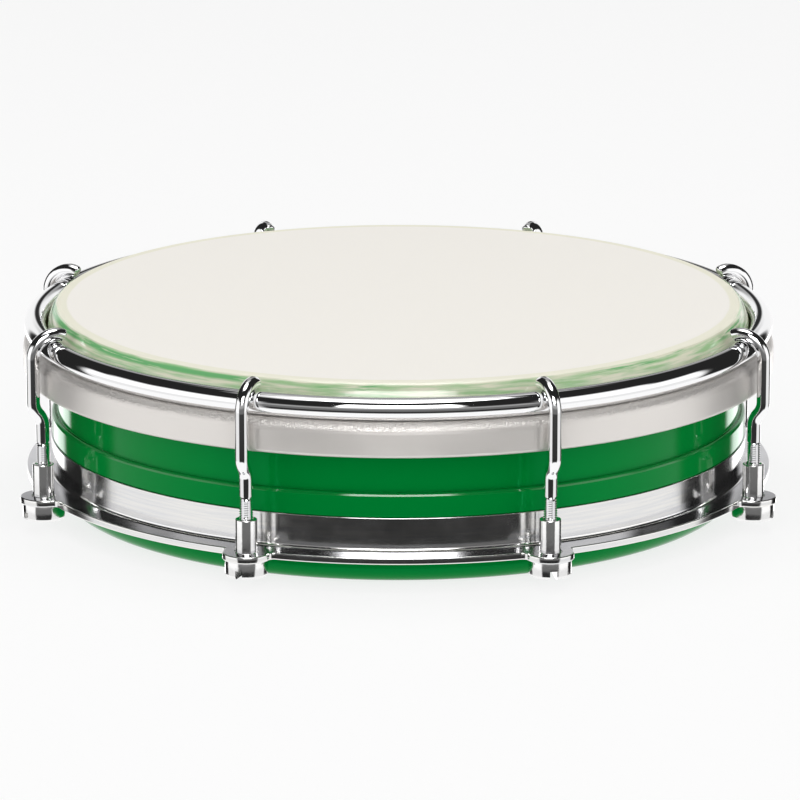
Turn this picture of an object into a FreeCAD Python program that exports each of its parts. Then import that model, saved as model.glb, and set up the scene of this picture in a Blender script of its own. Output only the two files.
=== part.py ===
import FreeCAD, Part
import Sketcher
import math
import os

# Tamborim: a six inch hand drum. A moulded shell, open below, carries a film
# head on its bearing edge. The film hangs in a channel collar, set in resin.
# A round counter hoop lies on the collar's shoulder, and hooks hang over the
# hoop. Their threaded ends go down into slotted tube nuts, whose heads bear
# under the ears of a tension ring. The ring seats under the shell's band, so
# turning the nuts draws the hoop and the head down.
# Lengths are in millimetres, turns in degrees. +Z is up the drum's axis, and
# the origin is the centre of the shell's lower rim.

# Driving sizes: name, value and what it is.
SIZES = (
    ("hook_count", 8, "hooks, nuts and ears round the drum"),
    ("drum_depth", 44.45, "lower rim to playing surface, 1 3/4 inch"),
    ("shell_radius", 76.45, "outside of the shell above its band"),
    ("shell_wall", 5.6, "shell wall above the band"),
    ("edge_land", 2.4, "top of the bearing edge, outside the inner bevel"),
    ("edge_rounding", 1.05, "outer rounding of the bearing edge"),
    ("seat_height_share", 0.34083, "underside of the band, share of the drum's depth"),
    ("band_height", 5.35, "height of the shell's band"),
    ("band_projection", 1.25, "band beyond the shell above it"),
    ("band_fillet_share", 0.44, "hollow corner on top of the band, share of its projection"),
    ("band_upper_share", 0.5, "rounding of the band's upper edge, share of its projection"),
    ("band_lower_share", 0.32, "rounding of the band's lower edge, share of its projection"),
    ("lower_step", 0.25, "shell set in below the band"),
    ("foot_land", 1.1, "flat width of the lower rim"),
    ("foot_inner_rounding", 0.3, "inner rounding of the lower rim"),
    ("film_thickness", 0.35, "two ply film"),
    ("skirt_turn", 63, "slope of the film's skirt below the playing surface"),
    ("skirt_bend", 2.0, "inner bend where the skirt turns down into the collar"),
    ("skirt_gap", 0.4, "collar's inner wall to the film"),
    ("skirt_clearance", 0.3, "film's skirt to the counter hoop"),
    ("hoop_rod", 5.0, "bar of the counter hoop"),
    ("hoop_drop", 4.55, "hoop's centre below the playing surface"),
    ("collar_clearance", 0.55, "shell to collar"),
    ("collar_sheet", 0.6, "sheet of the collar"),
    ("collar_height", 7.7, "height of the collar"),
    ("collar_overhang", 0.2, "collar beyond the hoop's outer side"),
    ("collar_shoulder", 2.65, "rounding of the collar's rolled shoulder"),
    ("collar_bend", 0.9, "rounding of the collar's lower corners"),
    ("lip_reach", 0.65, "collar's lip inward of the hoop's centre"),
    ("resin_floor", 0.85, "resin under the edge of the film"),
    ("ring_clearance", 0.3, "shell to tension ring"),
    ("ring_sheet", 1.5, "sheet of the tension ring"),
    ("ring_height", 8.8, "height of the tension ring"),
    ("ring_bend", 0.8, "inner bend between the ring's wall and flange"),
    ("flange_width", 5.4, "ring's wall to the flange's edge"),
    ("ear_offset", 1.0, "flange's edge to the hook's hole"),
    ("ear_radius", 5.15, "round ear about each hole"),
    ("ear_blend", 1.2, "hollow corner between an ear and the flange's edge"),
    ("barrel_play", 0.05, "nut barrel in its hole, radial"),
    ("barrel_size", 4.7, "nut barrel, diameter"),
    ("barrel_length", 8.8, "nut barrel above its head"),
    ("barrel_chamfer", 0.2, "chamfer at the barrel's top"),
    ("head_play", 0.05, "nut head under its ear"),
    ("head_size", 9.25, "nut head, diameter"),
    ("head_height", 3.65, "nut head"),
    ("head_rounding", 0.7, "lower edge of the nut head"),
    ("slot_width", 2.0, "screwdriver slot"),
    ("slot_depth", 2.15, "screwdriver slot"),
    ("thread_size", 3.0, "thread of the hook, diameter"),
    ("thread_play", 0.05, "thread in the nut, radial"),
    ("thread_hold", 7.6, "length of thread inside the nut"),
    ("thread_chamfer", 0.35, "end of the thread"),
    ("bore_spare", 2.0, "nut's bore below the end of the thread"),
    ("hook_rod", 2.9, "rod of the hook, diameter"),
    ("hook_gap", 0.1, "hook's crook to the counter hoop"),
    ("leg_clearance", 1.15, "collar to the hook's upper leg"),
    ("bend_drop", 0.6, "collar's underside to the top of the hook's bend"),
    ("bend_height", 5.4, "height of the hook's double bend"),
    ("plain_length", 3.9, "plain rod between the bend and the thread"),
    ("tip_turn", 31, "crook beyond the top of the hoop"),
    ("tip_rounding_share", 0.5, "end of the crook, share of the rod's radius"),
    ("cut_overrun", 1.0, "length by which a cut passes a face"),
    ("slot_turn_1", 17, "direction of the slot, nut 1"),
    ("slot_turn_2", 142, "direction of the slot, nut 2"),
    ("slot_turn_3", 58, "direction of the slot, nut 3"),
    ("slot_turn_4", 121, "direction of the slot, nut 4"),
    ("slot_turn_5", 35, "direction of the slot, nut 5"),
    ("slot_turn_6", 69.5, "direction of the slot, nut 6, front left"),
    ("slot_turn_7", 98.5, "direction of the slot, nut 7, front right"),
    ("slot_turn_8", 160, "direction of the slot, nut 8"),
)

# Places that follow from the driving sizes, each after those that it reads.
PLACES = (
    # Shell
    ("inner_radius", "Sizes.shell_radius - Sizes.shell_wall"),
    ("edge_height", "Sizes.drum_depth - Sizes.film_thickness"),
    ("edge_bevel", "Sizes.shell_wall - Sizes.edge_land"),
    ("seat_height", "Sizes.drum_depth * Sizes.seat_height_share"),
    ("band_top", "Places.seat_height + Sizes.band_height"),
    ("band_radius", "Sizes.shell_radius + Sizes.band_projection"),
    ("band_fillet", "Sizes.band_projection * Sizes.band_fillet_share"),
    ("band_upper_rounding", "Sizes.band_projection * Sizes.band_upper_share"),
    ("band_lower_rounding", "Sizes.band_projection * Sizes.band_lower_share"),
    ("lower_radius", "Sizes.shell_radius - Sizes.lower_step"),
    ("foot_rounding", "Sizes.shell_wall - Sizes.lower_step - Sizes.foot_land - Sizes.foot_inner_rounding"),
    # Collar, hoop and head, outward from the shell
    ("collar_inside", "Sizes.shell_radius + Sizes.collar_clearance"),
    ("collar_inner_face", "Places.collar_inside + Sizes.collar_sheet"),
    ("skirt_inside", "Places.collar_inner_face + Sizes.skirt_gap"),
    ("skirt_radius", "Places.skirt_inside + Sizes.film_thickness"),
    ("hoop_radius", "Places.skirt_radius + Sizes.skirt_clearance + Sizes.hoop_rod / 2"),
    ("hoop_height", "Sizes.drum_depth - Sizes.hoop_drop"),
    ("collar_outside", "Places.hoop_radius + Sizes.hoop_rod / 2 + Sizes.collar_overhang"),
    ("collar_outer_face", "Places.collar_outside - Sizes.collar_sheet"),
    ("collar_top", "Places.hoop_height - Sizes.hoop_rod / 2"),
    ("collar_bottom", "Places.collar_top - Sizes.collar_height"),
    ("collar_floor", "Places.collar_bottom + Sizes.collar_sheet"),
    ("lip_underside", "Places.collar_top - Sizes.collar_sheet"),
    ("lip_end", "Places.hoop_radius - Sizes.lip_reach"),
    ("resin_top", "Places.collar_top - Sizes.collar_shoulder"),
    ("film_edge", "Places.collar_floor + Sizes.resin_floor"),
    # Film: its crown is bent round the shell's rounded edge
    ("crown_centre", "Sizes.shell_radius - Sizes.edge_rounding"),
    ("crown_radius", "Sizes.edge_rounding + Sizes.film_thickness"),
    ("crown_corner", "Places.crown_centre + Places.crown_radius * tan(Sizes.skirt_turn * 0.5deg)"),
    ("under_corner", "Places.crown_centre + Sizes.edge_rounding * tan(Sizes.skirt_turn * 0.5deg)"),
    ("knee_height",
     "Sizes.drum_depth - (Places.skirt_radius - Places.crown_corner) * tan(Sizes.skirt_turn * 1deg)"),
    ("under_knee",
     "Places.edge_height - (Places.skirt_inside - Places.under_corner) * tan(Sizes.skirt_turn * 1deg)"),
    # Tension ring
    ("ring_inside", "Places.lower_radius + Sizes.ring_clearance"),
    ("ring_wall", "Places.ring_inside + Sizes.ring_sheet"),
    ("ring_bottom", "Places.seat_height - Sizes.ring_height"),
    ("flange_top", "Places.ring_bottom + Sizes.ring_sheet"),
    ("flange_radius", "Places.ring_wall + Sizes.flange_width"),
    ("hook_circle", "Places.flange_radius + Sizes.ear_offset"),
    ("barrel_radius", "Sizes.barrel_size / 2"),
    ("ear_hole", "Places.barrel_radius + Sizes.barrel_play"),
    # Nut
    ("head_top", "Places.ring_bottom - Sizes.head_play"),
    ("head_bottom", "Places.head_top - Sizes.head_height"),
    ("head_radius", "Sizes.head_size / 2"),
    ("nut_top", "Places.head_top + Sizes.barrel_length"),
    ("bore_radius", "Sizes.thread_size / 2 + Sizes.thread_play"),
    ("thread_end", "Places.nut_top - Sizes.thread_hold"),
    ("bore_floor", "Places.thread_end - Sizes.bore_spare"),
    # Hook
    ("rod_radius", "Sizes.hook_rod / 2"),
    ("leg_radius", "Places.collar_outside + Sizes.leg_clearance + Places.rod_radius"),
    ("bend_top", "Places.collar_bottom - Sizes.bend_drop"),
    ("bend_bottom", "Places.bend_top - Sizes.bend_height"),
    ("thread_top", "Places.bend_bottom - Sizes.plain_length"),
    ("bend_offset", "Places.leg_radius - Places.hook_circle"),
    ("bend_radius", "(Places.bend_offset ^ 2 + Sizes.bend_height ^ 2) / (4 * Places.bend_offset)"),
    ("crook_radius", "Sizes.hoop_rod / 2 + Sizes.hook_gap + Places.rod_radius"),
    ("crook_top", "Places.hoop_height + Places.crook_radius"),
    ("shoulder_height", "Places.crook_top - (Places.leg_radius - Places.hoop_radius)"),
    ("tip_across", "Places.hoop_radius - Places.crook_radius * sin(Sizes.tip_turn * 1deg)"),
    ("tip_height", "Places.hoop_height + Places.crook_radius * cos(Sizes.tip_turn * 1deg)"),
)

NEAR = 1e-4


def fill_sizes(doc):
    """Put the driving sizes in the document's sheet."""
    sheet = doc.addObject("Spreadsheet::Sheet", "Sizes")
    for row, (name, number, note) in enumerate(SIZES, start=1):
        sheet.set("A%d" % row, name)
        sheet.set("B%d" % row, str(number))
        sheet.setAlias("B%d" % row, name)
        sheet.set("C%d" % row, note)
    doc.recompute()


def fill_places(doc):
    """Work out the places that follow from the sizes."""
    places = doc.addObject("App::VarSet", "Places")
    for name, formula in PLACES:
        places.addProperty("App::PropertyFloat", name, "Places", "")
        places.setExpression(name, formula)
        doc.recompute()


def value(doc, formula):
    """The number that a formula of sizes and places gives."""
    return float(doc.Sizes.evalExpression(formula))


def radians(doc, formula):
    """The turn that a formula in degrees gives, in radians."""
    return math.radians(doc.Sizes.evalExpression(formula).Value)


def new_body(doc, label):
    """An empty body with its own label."""
    body = doc.addObject("PartDesign::Body", label)
    body.Label = label
    return body


def new_sketch(body, name, role, height=None):
    """A sketch on one of the body's own planes, raised to a height."""
    plane = [item for item in body.Origin.OriginFeatures if item.Role == role][0]
    sketch = body.newObject("Sketcher::SketchObject", name)
    sketch.AttachmentSupport = [(plane, "")]
    sketch.MapMode = "FlatFace"
    if height:
        sketch.setExpression("AttachmentOffset.Base.z", height)
    return sketch


def hold(sketch, kind, item, point, formula):
    """Hold one coordinate of a sketch point at a formula's value."""
    limit = Sketcher.Constraint(kind, -1, 1, item, point, value(sketch.Document, formula))
    number = sketch.addConstraint(limit)
    sketch.setExpression("Constraints[%d]" % number, formula)


def hold_point(sketch, item, point, across, up):
    """Hold both coordinates of a sketch point."""
    hold(sketch, "DistanceX", item, point, across)
    hold(sketch, "DistanceY", item, point, up)


def vector(doc, across, up):
    """A sketch vector at the values of two formulas."""
    return FreeCAD.Vector(value(doc, across), value(doc, up), 0)


def join(sketch, first, first_point, second, second_point):
    """Join two sketch points."""
    sketch.addConstraint(Sketcher.Constraint("Coincident", first, first_point, second, second_point))


def draw_outline(sketch, corners):
    """A closed outline of straight lines through corners held by formulas."""
    doc = sketch.Document
    count = len(corners)
    for index, corner in enumerate(corners):
        following = corners[(index + 1) % count]
        sketch.addGeometry(Part.LineSegment(vector(doc, *corner), vector(doc, *following)), False)
    for index, corner in enumerate(corners):
        join(sketch, index, 2, (index + 1) % count, 1)
        hold_point(sketch, index, 1, *corner)


def draw_circle(sketch, across, up, radius):
    """A circle held by formulas."""
    doc = sketch.Document
    circle = Part.Circle(vector(doc, across, up), FreeCAD.Vector(0, 0, 1), value(doc, radius))
    item = sketch.addGeometry(circle, False)
    number = sketch.addConstraint(Sketcher.Constraint("Radius", item, value(doc, radius)))
    sketch.setExpression("Constraints[%d]" % number, radius)
    hold_point(sketch, item, 3, across, up)


def draw_arc(sketch, centre, radius, first, last):
    """An arc from its first to its last turn, counter-clockwise."""
    doc = sketch.Document
    circle = Part.Circle(vector(doc, *centre), FreeCAD.Vector(0, 0, 1), value(doc, radius))
    return sketch.addGeometry(Part.ArcOfCircle(circle, first, last), False)


def revolve(body, name, corners):
    """A solid of revolution about the body's upright axis."""
    sketch = new_sketch(body, name + "_outline", "XZ_Plane")
    draw_outline(sketch, corners)
    feature = body.newObject("PartDesign::Revolution", name)
    feature.Profile = sketch
    feature.ReferenceAxis = (sketch, ["V_Axis"])
    feature.Angle = 360
    sketch.Visibility = False
    body.Document.recompute()
    return feature


def ring_edges(feature, rings):
    """Names of the level circular edges with these radii and heights."""
    doc = feature.Document
    wanted = [(value(doc, radius), value(doc, height)) for radius, height in rings]
    names = []
    for number, edge in enumerate(feature.Shape.Edges, start=1):
        if not isinstance(edge.Curve, Part.Circle):
            continue
        size = edge.Curve.Radius
        level = edge.Curve.Center.z
        if any(abs(size - radius) < NEAR and abs(level - height) < NEAR for radius, height in wanted):
            names.append("Edge%d" % number)
    return names


def dress(body, kind, name, names, size):
    """Round or chamfer the named edges of the body's last feature."""
    last = body.Tip
    feature = body.newObject("PartDesign::" + kind, name)
    feature.Base = (last, names)
    prop = "Radius" if kind == "Fillet" else "Size"
    setattr(feature, prop, value(body.Document, size))
    feature.setExpression(prop, size)
    body.Document.recompute()
    return feature


def round_rings(body, name, size, *rings):
    """Round the circular edges at these radii and heights."""
    return dress(body, "Fillet", name, ring_edges(body.Tip, rings), size)


def repeat(body, name, feature):
    """Repeat a feature once for each hook, about the drum's axis."""
    axis = [item for item in body.Origin.OriginFeatures if item.Role == "Z_Axis"][0]
    pattern = body.newObject("PartDesign::PolarPattern", name)
    pattern.Originals = [feature]
    pattern.Axis = (axis, [""])
    pattern.Angle = 360
    pattern.setExpression("Occurrences", "Sizes.hook_count")
    body.Tip = pattern
    body.Document.recompute()
    return pattern


def check_cut(before, after):
    """Stop if a cut has taken nothing away."""
    if not after.Shape.Volume < before.Shape.Volume - NEAR:
        raise RuntimeError("%s cuts nothing" % after.Name)


def hook_angle(index):
    """Formula of a hook's turn about the drum's axis."""
    return "(%d + 0.5) * 360deg / Sizes.hook_count" % index


def build_shell(doc):
    """Moulded shell: bearing edge on top, band half way down, rounded foot."""
    body = new_body(doc, "drum_shell")
    revolve(body, "shell_wall", (
        ("Places.inner_radius", "0"),
        ("Places.lower_radius", "0"),
        ("Places.lower_radius", "Places.seat_height"),
        ("Places.band_radius", "Places.seat_height"),
        ("Places.band_radius", "Places.band_top"),
        ("Sizes.shell_radius", "Places.band_top"),
        ("Sizes.shell_radius", "Places.edge_height"),
        ("Places.inner_radius + Places.edge_bevel", "Places.edge_height"),
        ("Places.inner_radius", "Places.edge_height - Places.edge_bevel"),
    ))
    round_rings(body, "bearing_edge", "Sizes.edge_rounding", ("Sizes.shell_radius", "Places.edge_height"))
    round_rings(body, "band_corner", "Places.band_fillet", ("Sizes.shell_radius", "Places.band_top"))
    round_rings(body, "band_upper_edge", "Places.band_upper_rounding", ("Places.band_radius", "Places.band_top"))
    round_rings(body, "band_lower_edge", "Places.band_lower_rounding", ("Places.band_radius", "Places.seat_height"))
    round_rings(body, "foot_outside", "Places.foot_rounding", ("Places.lower_radius", "0"))
    round_rings(body, "foot_inside", "Sizes.foot_inner_rounding", ("Places.inner_radius", "0"))
    return body


def build_head_film(doc):
    """Film head: flat, bent over the bearing edge, then down into the collar."""
    body = new_body(doc, "head_film")
    revolve(body, "film", (
        ("0", "Places.edge_height"),
        ("Places.under_corner", "Places.edge_height"),
        ("Places.skirt_inside", "Places.under_knee"),
        ("Places.skirt_inside", "Places.film_edge"),
        ("Places.skirt_radius", "Places.film_edge"),
        ("Places.skirt_radius", "Places.knee_height"),
        ("Places.crown_corner", "Sizes.drum_depth"),
        ("0", "Sizes.drum_depth"),
    ))
    round_rings(body, "crown", "Places.crown_radius", ("Places.crown_corner", "Sizes.drum_depth"))
    round_rings(body, "under_crown", "Sizes.edge_rounding", ("Places.under_corner", "Places.edge_height"))
    round_rings(
        body, "knee", "Sizes.skirt_bend + Sizes.film_thickness", ("Places.skirt_radius", "Places.knee_height"))
    round_rings(body, "under_knee", "Sizes.skirt_bend", ("Places.skirt_inside", "Places.under_knee"))
    return body


def build_head_collar(doc):
    """Rolled channel that holds the film, with a shoulder for the hoop."""
    body = new_body(doc, "head_collar")
    revolve(body, "channel", (
        ("Places.collar_inside", "Places.collar_bottom"),
        ("Places.collar_outside", "Places.collar_bottom"),
        ("Places.collar_outside", "Places.collar_top"),
        ("Places.lip_end", "Places.collar_top"),
        ("Places.lip_end", "Places.lip_underside"),
        ("Places.collar_outer_face", "Places.lip_underside"),
        ("Places.collar_outer_face", "Places.collar_floor"),
        ("Places.collar_inner_face", "Places.collar_floor"),
        ("Places.collar_inner_face", "Places.collar_top"),
        ("Places.collar_inside", "Places.collar_top"),
    ))
    round_rings(body, "shoulder", "Sizes.collar_shoulder", ("Places.collar_outside", "Places.collar_top"))
    round_rings(
        body, "shoulder_inside", "Sizes.collar_shoulder - Sizes.collar_sheet",
        ("Places.collar_outer_face", "Places.lip_underside"))
    round_rings(
        body, "lower_bends", "Sizes.collar_bend",
        ("Places.collar_inside", "Places.collar_bottom"), ("Places.collar_outside", "Places.collar_bottom"))
    round_rings(
        body, "lower_bends_inside", "Sizes.collar_bend - Sizes.collar_sheet",
        ("Places.collar_inner_face", "Places.collar_floor"), ("Places.collar_outer_face", "Places.collar_floor"))
    return body


def build_resin_bead(doc):
    """Set resin in the collar, round the edge of the film."""
    body = new_body(doc, "resin_bead")
    revolve(body, "resin", (
        ("Places.collar_inner_face", "Places.collar_floor"),
        ("Places.collar_outer_face", "Places.collar_floor"),
        ("Places.collar_outer_face", "Places.resin_top"),
        ("Places.skirt_radius", "Places.resin_top"),
        ("Places.skirt_radius", "Places.film_edge"),
        ("Places.skirt_inside", "Places.film_edge"),
        ("Places.skirt_inside", "Places.resin_top"),
        ("Places.collar_inner_face", "Places.resin_top"),
    ))
    round_rings(
        body, "resin_corners", "Sizes.collar_bend - Sizes.collar_sheet",
        ("Places.collar_inner_face", "Places.collar_floor"), ("Places.collar_outer_face", "Places.collar_floor"))
    return body


def build_counter_hoop(doc):
    """Round bar bent to a ring, on the collar's shoulder."""
    body = new_body(doc, "counter_hoop")
    sketch = new_sketch(body, "bar_section", "XZ_Plane")
    draw_circle(sketch, "Places.hoop_radius", "Places.hoop_height", "Sizes.hoop_rod / 2")
    bar = body.newObject("PartDesign::Revolution", "bar")
    bar.Profile = sketch
    bar.ReferenceAxis = (sketch, ["V_Axis"])
    bar.Angle = 360
    return body


def build_tension_ring(doc):
    """Angle section ring with a round ear and a hole for each nut."""
    body = new_body(doc, "tension_ring")
    revolve(body, "angle", (
        ("Places.ring_inside", "Places.ring_bottom"),
        ("Places.flange_radius", "Places.ring_bottom"),
        ("Places.flange_radius", "Places.flange_top"),
        ("Places.ring_wall", "Places.flange_top"),
        ("Places.ring_wall", "Places.seat_height"),
        ("Places.ring_inside", "Places.seat_height"),
    ))
    round_rings(body, "bend", "Sizes.ring_bend", ("Places.ring_wall", "Places.flange_top"))
    round_rings(
        body, "bend_outside", "Sizes.ring_bend + Sizes.ring_sheet", ("Places.ring_inside", "Places.ring_bottom"))
    across = "Places.hook_circle * cos(%s)" % hook_angle(0)
    along = "Places.hook_circle * sin(%s)" % hook_angle(0)
    outline = new_sketch(body, "ear_outline", "XY_Plane", "Places.ring_bottom")
    draw_circle(outline, across, along, "Sizes.ear_radius")
    ear = body.newObject("PartDesign::Pad", "ear")
    ear.Profile = outline
    ear.setExpression("Length", "Sizes.ring_sheet")
    doc.recompute()
    ears = repeat(body, "ears", ear)
    dress(body, "Fillet", "ear_blends", blend_edges(ears), "Sizes.ear_blend")
    blended = body.Tip
    opening = new_sketch(body, "hole_outline", "XY_Plane", "Places.flange_top")
    draw_circle(opening, across, along, "Places.ear_hole")
    hole = body.newObject("PartDesign::Pocket", "hole")
    hole.Profile = opening
    hole.setExpression("Length", "Sizes.ring_sheet + Sizes.cut_overrun")
    doc.recompute()
    check_cut(blended, hole)
    repeat(body, "holes", hole)
    return body


def blend_edges(feature):
    """Names of the upright edges where an ear meets the flange's edge."""
    doc = feature.Document
    flange = value(doc, "Places.flange_radius")
    height = value(doc, "Sizes.ring_sheet")
    circle = value(doc, "Places.hook_circle")
    ear = value(doc, "Sizes.ear_radius")
    names = []
    for number, edge in enumerate(feature.Shape.Edges, start=1):
        first = edge.Vertexes[0].Point
        last = edge.Vertexes[-1].Point
        upright = abs(abs(first.z - last.z) - height) < NEAR and abs(edge.Length - height) < NEAR
        if not upright or abs(first.x ** 2 + first.y ** 2 - flange ** 2) > NEAR * flange:
            continue
        for index in range(int(value(doc, "Sizes.hook_count"))):
            turn = radians(doc, hook_angle(index))
            across = first.x - circle * math.cos(turn)
            along = first.y - circle * math.sin(turn)
            if abs((across ** 2 + along ** 2) ** 0.5 - ear) < NEAR:
                names.append("Edge%d" % number)
    return names


def build_nut(doc, index):
    """Tube nut: barrel up through its ear, round slotted head below."""
    body = new_body(doc, "tuning_nut_%d" % (index + 1))
    revolve(body, "turned", (
        ("0", "Places.head_bottom"),
        ("Places.head_radius", "Places.head_bottom"),
        ("Places.head_radius", "Places.head_top"),
        ("Places.barrel_radius", "Places.head_top"),
        ("Places.barrel_radius", "Places.nut_top"),
        ("Places.bore_radius", "Places.nut_top"),
        ("Places.bore_radius", "Places.bore_floor"),
        ("0", "Places.bore_floor"),
    ))
    round_rings(body, "head_edge", "Sizes.head_rounding", ("Places.head_radius", "Places.head_bottom"))
    dress(
        body, "Chamfer", "barrel_edge",
        ring_edges(body.Tip, (("Places.barrel_radius", "Places.nut_top"),)), "Sizes.barrel_chamfer")
    whole = body.Tip
    outline = new_sketch(body, "slot_outline", "XY_Plane", "Places.head_bottom")
    reach = "(Places.head_radius + Sizes.cut_overrun)"
    half = "Sizes.slot_width / 2"
    draw_outline(outline, (
        ("-" + reach, "-" + half),
        (reach, "-" + half),
        (reach, half),
        ("-" + reach, half),
    ))
    slot = body.newObject("PartDesign::Pocket", "slot")
    slot.Profile = outline
    slot.Reversed = True
    slot.setExpression("Length", "Sizes.slot_depth")
    doc.recompute()
    check_cut(whole, slot)
    body.setExpression("Placement.Base.x", "Places.hook_circle * cos(%s)" % hook_angle(index))
    body.setExpression("Placement.Base.y", "Places.hook_circle * sin(%s)" % hook_angle(index))
    body.setExpression("Placement.Rotation.Angle", "Sizes.slot_turn_%d * 1deg" % (index + 1))
    return body


def draw_hook_line(path):
    """Centre line of a hook: plain leg, double bend, upper leg and crook."""
    doc = path.Document
    middle = ("(Places.hook_circle + Places.leg_radius) / 2", "(Places.bend_bottom + Places.bend_top) / 2")
    turn = 2 * math.atan(value(doc, "Places.bend_offset / Sizes.bend_height"))
    tip = radians(doc, "Sizes.tip_turn * 1deg")
    quarter = math.pi / 2

    lower = path.addGeometry(Part.LineSegment(
        vector(doc, "Places.hook_circle", "Places.thread_top"),
        vector(doc, "Places.hook_circle", "Places.bend_bottom")), False)
    outward = draw_arc(
        path, ("Places.hook_circle + Places.bend_radius", "Places.bend_bottom"),
        "Places.bend_radius", math.pi - turn, math.pi)
    upward = draw_arc(
        path, ("Places.leg_radius - Places.bend_radius", "Places.bend_top"), "Places.bend_radius", -turn, 0)
    upper = path.addGeometry(Part.LineSegment(
        vector(doc, "Places.leg_radius", "Places.bend_top"),
        vector(doc, "Places.leg_radius", "Places.shoulder_height")), False)
    shoulder = draw_arc(
        path, ("Places.hoop_radius", "Places.shoulder_height"),
        "Places.leg_radius - Places.hoop_radius", 0, quarter)
    crook = draw_arc(
        path, ("Places.hoop_radius", "Places.hoop_height"), "Places.crook_radius", quarter, quarter + tip)

    hold_point(path, lower, 1, "Places.hook_circle", "Places.thread_top")
    hold_point(path, lower, 2, "Places.hook_circle", "Places.bend_bottom")
    join(path, lower, 2, outward, 2)
    hold(path, "DistanceY", outward, 3, "Places.bend_bottom")
    hold_point(path, outward, 1, *middle)
    join(path, outward, 1, upward, 1)
    hold(path, "DistanceY", upward, 3, "Places.bend_top")
    join(path, upward, 2, upper, 1)
    hold_point(path, upper, 1, "Places.leg_radius", "Places.bend_top")
    hold_point(path, upper, 2, "Places.leg_radius", "Places.shoulder_height")
    join(path, upper, 2, shoulder, 1)
    hold_point(path, shoulder, 3, "Places.hoop_radius", "Places.shoulder_height")
    hold(path, "DistanceX", shoulder, 2, "Places.hoop_radius")
    join(path, shoulder, 2, crook, 1)
    hold_point(path, crook, 3, "Places.hoop_radius", "Places.hoop_height")
    hold(path, "DistanceX", crook, 2, "Places.tip_across")


def build_hook(doc, index):
    """Tuning hook: bent rod with a crook over the hoop and a threaded end."""
    body = new_body(doc, "tuning_hook_%d" % (index + 1))
    path = new_sketch(body, "hook_line", "XZ_Plane")
    draw_hook_line(path)
    section = new_sketch(body, "rod_section", "XY_Plane", "Places.thread_top")
    draw_circle(section, "Places.hook_circle", "0", "Places.rod_radius")
    doc.recompute()
    rod = body.newObject("PartDesign::AdditivePipe", "rod")
    rod.Profile = section
    rod.Spine = (path, ["Edge%d" % number for number in range(1, path.GeometryCount + 1)])
    doc.recompute()
    tip = [
        "Edge%d" % number for number, edge in enumerate(rod.Shape.Edges, start=1)
        if isinstance(edge.Curve, Part.Circle) and edge.isClosed() and is_at_tip(doc, edge)]
    dress(body, "Fillet", "tip_rounding", tip, "Places.rod_radius * Sizes.tip_rounding_share")
    outline = new_sketch(body, "thread_outline", "XY_Plane", "Places.thread_end")
    draw_circle(outline, "Places.hook_circle", "0", "Sizes.thread_size / 2")
    thread = body.newObject("PartDesign::Pad", "thread")
    thread.Profile = outline
    thread.setExpression("Length", "Places.thread_top - Places.thread_end")
    doc.recompute()
    dress(
        body, "Chamfer", "thread_point",
        ring_edges(thread, (("Sizes.thread_size / 2", "Places.thread_end"),)), "Sizes.thread_chamfer")
    body.setExpression("Placement.Rotation.Angle", hook_angle(index))
    return body


def is_at_tip(doc, edge):
    """True for the edge round the crook's end."""
    centre = edge.Curve.Center
    across = centre.x - value(doc, "Places.tip_across")
    up = centre.z - value(doc, "Places.tip_height")
    return abs(across) < NEAR and abs(up) < NEAR


def check(doc, bodies):
    """Stop if an object failed or a piece isn't one sound solid."""
    for item in doc.Objects:
        if "Invalid" in item.State or "Error" in item.State:
            raise RuntimeError("%s failed: %s" % (item.Name, item.State))
    for body in bodies:
        shape = body.Shape
        if shape.isNull() or not shape.isValid() or len(shape.Solids) != 1:
            raise RuntimeError("%s is not one sound solid" % body.Label)


def main():
    doc = FreeCAD.newDocument("tamborim")
    fill_sizes(doc)
    fill_places(doc)
    bodies = [
        build_shell(doc),
        build_head_film(doc),
        build_head_collar(doc),
        build_resin_bead(doc),
        build_counter_hoop(doc),
        build_tension_ring(doc),
    ]
    for index in range(int(value(doc, "Sizes.hook_count"))):
        bodies.append(build_hook(doc, index))
        bodies.append(build_nut(doc, index))
    doc.recompute()
    check(doc, bodies)
    os.makedirs("parts", exist_ok=True)
    for body in bodies:
        body.Shape.exportStep("parts/%s.step" % body.Label)
        box = body.Shape.BoundBox
        print("%-16s %8.1f mm3, z %.2f to %.2f" % (body.Label, body.Shape.Volume, box.ZMin, box.ZMax))


main()
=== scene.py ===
import bmesh
import bpy
import math
from mathutils import Matrix, Vector


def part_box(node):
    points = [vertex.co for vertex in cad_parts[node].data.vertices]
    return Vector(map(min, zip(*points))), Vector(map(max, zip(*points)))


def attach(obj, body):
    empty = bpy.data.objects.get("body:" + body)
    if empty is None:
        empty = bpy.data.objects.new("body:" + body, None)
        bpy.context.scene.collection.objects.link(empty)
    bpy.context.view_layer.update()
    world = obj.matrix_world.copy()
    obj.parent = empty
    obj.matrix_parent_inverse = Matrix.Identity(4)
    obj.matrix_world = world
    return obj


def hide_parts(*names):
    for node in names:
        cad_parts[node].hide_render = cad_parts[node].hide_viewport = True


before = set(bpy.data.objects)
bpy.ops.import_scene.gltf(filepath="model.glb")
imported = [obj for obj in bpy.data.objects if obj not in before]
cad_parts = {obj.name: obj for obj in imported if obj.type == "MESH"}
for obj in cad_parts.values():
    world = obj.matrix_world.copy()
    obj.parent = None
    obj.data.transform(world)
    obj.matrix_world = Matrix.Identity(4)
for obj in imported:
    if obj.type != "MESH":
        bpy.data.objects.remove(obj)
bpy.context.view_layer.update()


# Drum shell. One moulding of green gloss plastic, open below: a bearing edge
# with an inner bevel on top, a band half way down that the tension ring seats
# under, and a rounded foot. It is turned here from its outline.
MM = 0.001
TOUCH = 0.01 * MM
ROUND = 288


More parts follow.
